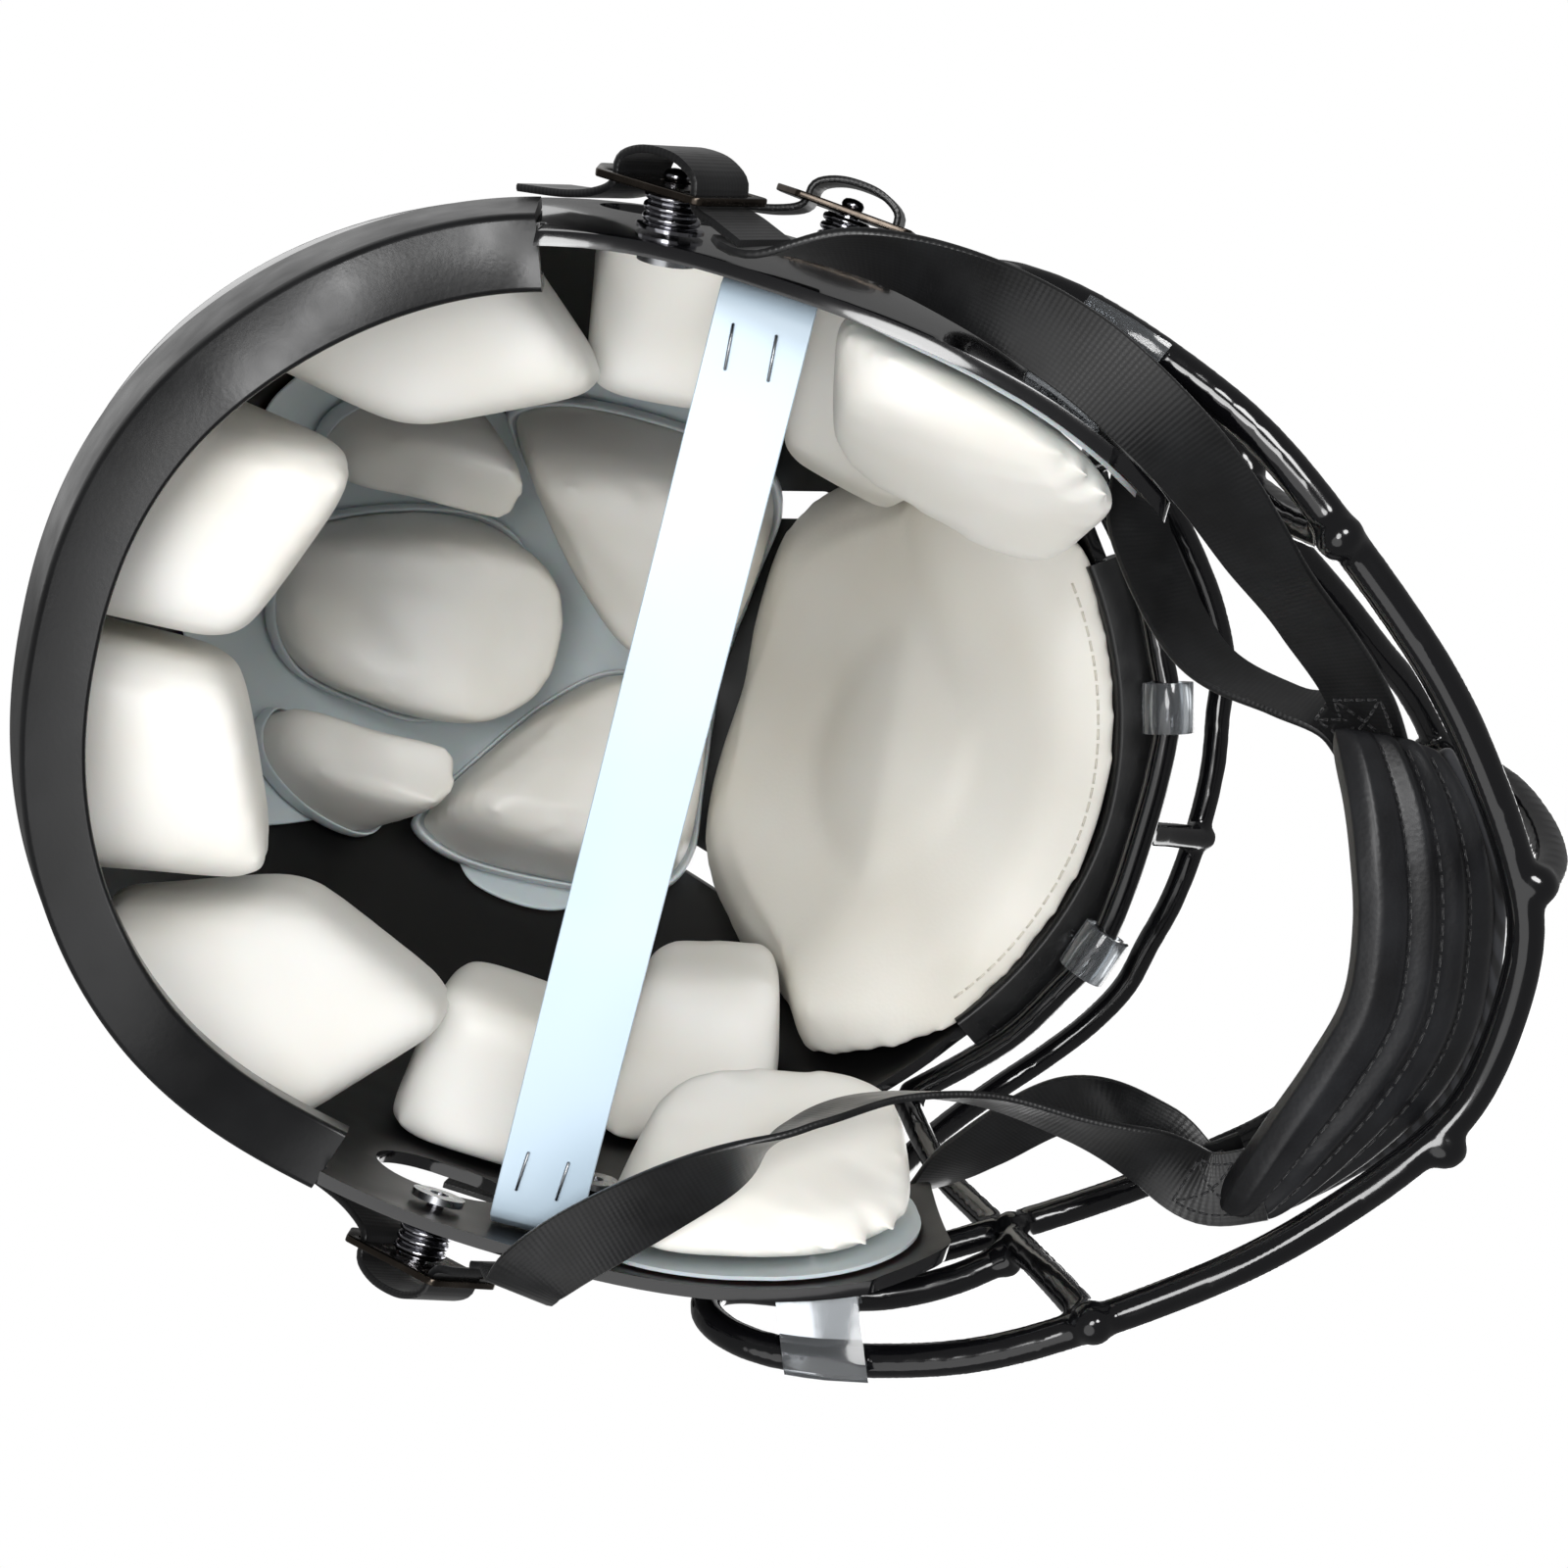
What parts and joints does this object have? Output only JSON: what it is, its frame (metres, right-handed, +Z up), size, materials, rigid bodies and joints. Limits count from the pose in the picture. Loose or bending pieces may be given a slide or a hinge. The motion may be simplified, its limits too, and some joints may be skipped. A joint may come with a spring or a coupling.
{
  "type": "football helmet",
  "caption": "Hard shell football helmet with a welded wire face mask, clear mask clips, padded liner and a four point chin strap with a padded cup.",
  "frame": {"origin": "on the table under the middle of the overall length and width", "axes": "+X to the wearer's left, +Y to the back of the head, +Z up"},
  "size_m": [0.281, 0.3636, 0.258],
  "materials": {
    "shell": "polished black moulded shell",
    "bumper": "satin black moulded edge",
    "wire": "gloss black dip coating over steel wire",
    "clip": "clear grey moulded clip",
    "screw": "plated steel",
    "post": "dark polished steel",
    "buckle": "dark bronze plated steel",
    "webbing": "black woven webbing",
    "cup": "black padded vinyl",
    "piping": "off white braided cord",
    "tray": "pale blue moulded sheet",
    "vinyl": "white vinyl over foam",
    "leather": "cream leather over foam",
    "strip": "pale blue printed sheet, bare"
  },
  "bodies": {
    "helmet": {"outer_shell": "shell", "rear_bumper": "bumper", "front_bumper": "bumper", "chin_bar": "wire", "mouth_bar": "wire", "lower_brow_bar": "wire", "upper_brow_bar": "wire", "brow_stub": "wire", "strut_left": "wire", "strut_right": "wire", "chin_post_left": "wire", "chin_post_right": "wire", "top_clip_left": "clip", "top_clip_right": "clip", "side_clip_left": "clip", "side_clip_right": "clip", "mask_screws": "screw", "mask_nuts": "screw", "snap_posts": "post", "post_nuts": "screw", "strap_lower_left": "webbing", "strap_lower_right": "webbing", "strap_upper_left": "webbing", "strap_upper_right": "webbing", "crown_sheet": "tray", "crown_pad_rear": "vinyl", "crown_pad_rear_left": "vinyl", "crown_pad_rear_right": "vinyl", "crown_pad_top_left": "vinyl", "crown_pad_top_right": "vinyl", "rear_pad_left": "vinyl", "rear_pad_right": "vinyl", "rear_side_pad_left": "vinyl", "rear_side_pad_right": "vinyl", "side_pad_left": "vinyl", "side_pad_right": "vinyl", "temple_pad_left": "vinyl", "temple_pad_right": "vinyl", "jaw_flange_left": "tray", "jaw_flange_right": "tray", "jaw_pad_left": "vinyl", "jaw_pad_right": "vinyl", "front_pad": "leather", "spreader_strip": "strip"},
    "buckle_lower_left_body": {"buckle_lower_left": "buckle", "strap_end_lower_left": "webbing"},
    "buckle_lower_right_body": {"buckle_lower_right": "buckle", "strap_end_lower_right": "webbing"},
    "buckle_upper_left_body": {"buckle_upper_left": "buckle", "strap_end_upper_left": "webbing"},
    "buckle_upper_right_body": {"buckle_upper_right": "buckle", "strap_end_upper_right": "webbing"},
    "cup_body": {"chin_cup": "cup", "cup_piping": "piping"}
  },
  "joints": [
    {"name": "snap_lower_left", "type": "slide", "parent": "helmet", "child": "buckle_lower_left_body", "axis": [0.9568, 0.0771, -0.2803], "range_m": [0, 0.0045]},
    {"name": "snap_lower_right", "type": "slide", "parent": "helmet", "child": "buckle_lower_right_body", "axis": [-0.9568, 0.0771, -0.2803], "range_m": [0, 0.0045]},
    {"name": "snap_upper_left", "type": "slide", "parent": "helmet", "child": "buckle_upper_left_body", "axis": [0.9872, -0.0816, -0.1367], "range_m": [0, 0.0045]},
    {"name": "snap_upper_right", "type": "slide", "parent": "helmet", "child": "buckle_upper_right_body", "axis": [-0.9872, -0.0816, -0.1367], "range_m": [0, 0.0045]},
    {"name": "cup_swing", "type": "hinge", "parent": "helmet", "child": "cup_body", "pos_m": [0, 0.04285, 0.028], "axis": [-1, 0, 0], "range_deg": [0, 12], "deforming": ["strap_lower_left", "strap_lower_right", "strap_upper_left", "strap_upper_right"]}
  ]
}
